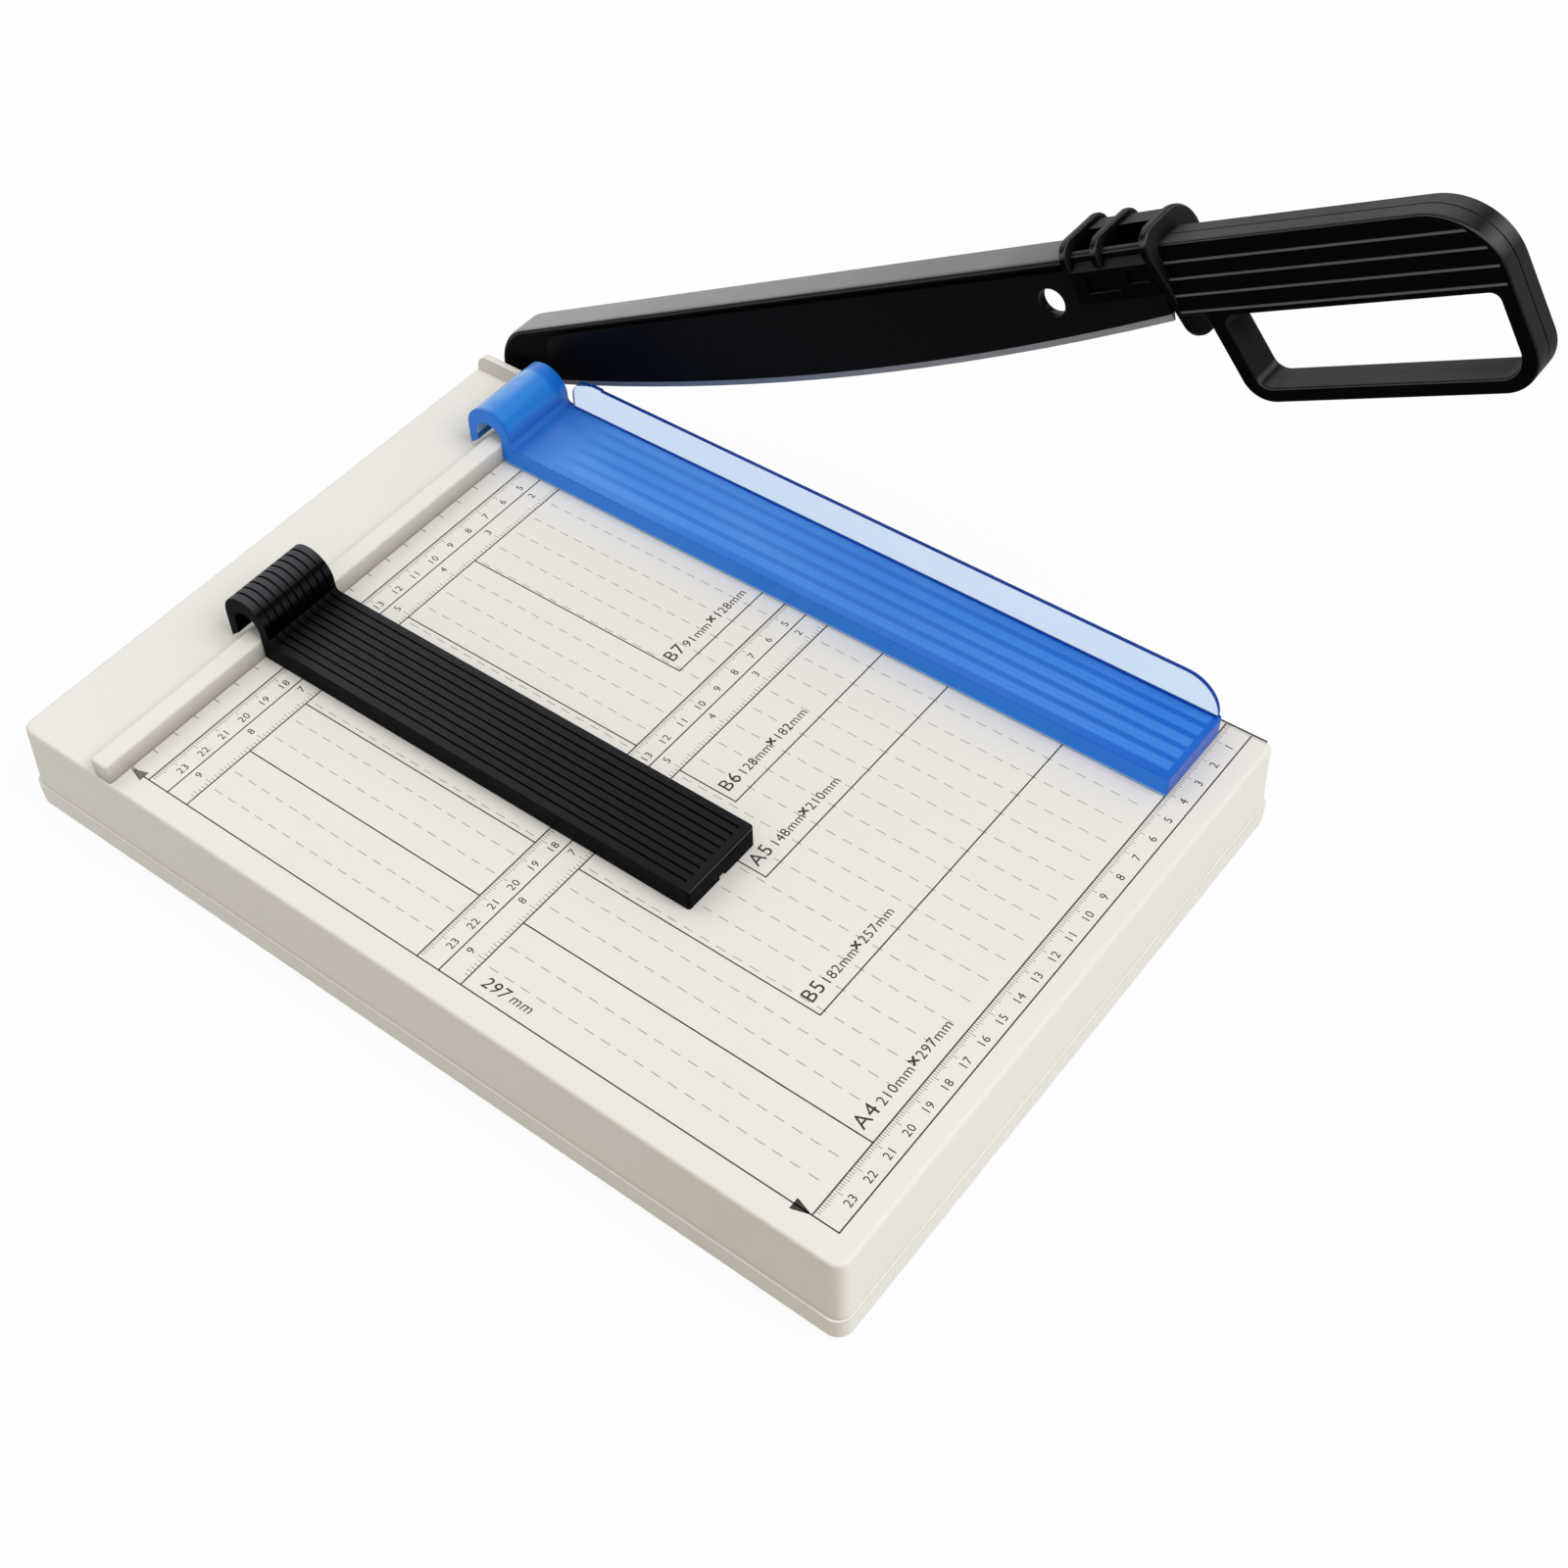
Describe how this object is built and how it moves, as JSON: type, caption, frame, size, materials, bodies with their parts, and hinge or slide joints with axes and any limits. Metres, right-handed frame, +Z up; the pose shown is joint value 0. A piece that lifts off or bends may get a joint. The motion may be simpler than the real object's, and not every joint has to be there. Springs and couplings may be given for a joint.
{
  "type": "lever paper cutter",
  "caption": "Lever paper cutter with a ruled table, a fence rail, a sliding paper guide, a lifting blade guard and a curved blade on a pivoting arm with a loop handle.",
  "frame": {"origin": "on the desk, under the middle of the table", "axes": "+X towards the cutting edge, +Y towards the fence rail and the pivot, +Z up"},
  "size_m": [0.2765, 0.4129, 0.255],
  "materials": {
    "ivory_plastic": "fine satin moulding",
    "black_plastic": "satin moulding",
    "black_steel": "satin black paint",
    "coated_blade_steel": "smooth black coat with a ground edge",
    "blade_steel": "ground",
    "blue_acrylic": "clear blue",
    "clear_acrylic": "clear with a faint blue tint",
    "rubber": "matt",
    "nylon": "natural",
    "zinc_steel": "zinc plated"
  },
  "bodies": {
    "base": {"base_top_shell": "ivory_plastic", "base_tray": "ivory_plastic", "rubber_feet": "rubber", "case_screws": "zinc_steel", "fence_rail": "ivory_plastic", "rail_screws": "zinc_steel", "fixed_blade": "blade_steel", "fixed_blade_screws": "zinc_steel", "pivot_bolt": "zinc_steel", "pivot_head_washer": "zinc_steel", "pivot_spacer": "nylon", "pivot_inner_washer": "zinc_steel", "pivot_spring_washer": "zinc_steel", "pivot_nut": "zinc_steel"},
    "arm": {"cutter_arm": "black_steel", "moving_blade": "coated_blade_steel", "blade_screws": "zinc_steel", "handle_inner_half": "black_plastic", "handle_outer_half": "black_plastic", "handle_screws": "zinc_steel"},
    "guide": {"paper_guide": "black_plastic"},
    "guard": {"guard_plate": "blue_acrylic", "guard_fin": "clear_acrylic"}
  },
  "joints": [
    {"name": "arm_swing", "type": "hinge", "parent": "base", "child": "arm", "pos_m": [0.1255, 0.1597, 0.03], "axis": [-1, 0, 0], "range_deg": [-28.2, 36]},
    {"name": "guide_slide", "type": "slide", "parent": "base", "child": "guide", "axis": [1, 0, 0], "range_m": [-0.074, 0.094]},
    {"name": "guard_lift", "type": "hinge", "parent": "base", "child": "guard", "pos_m": [0.10125, 0.1394, 0.0496], "axis": [-1, 0, 0], "range_deg": [0, 9.5]}
  ]
}
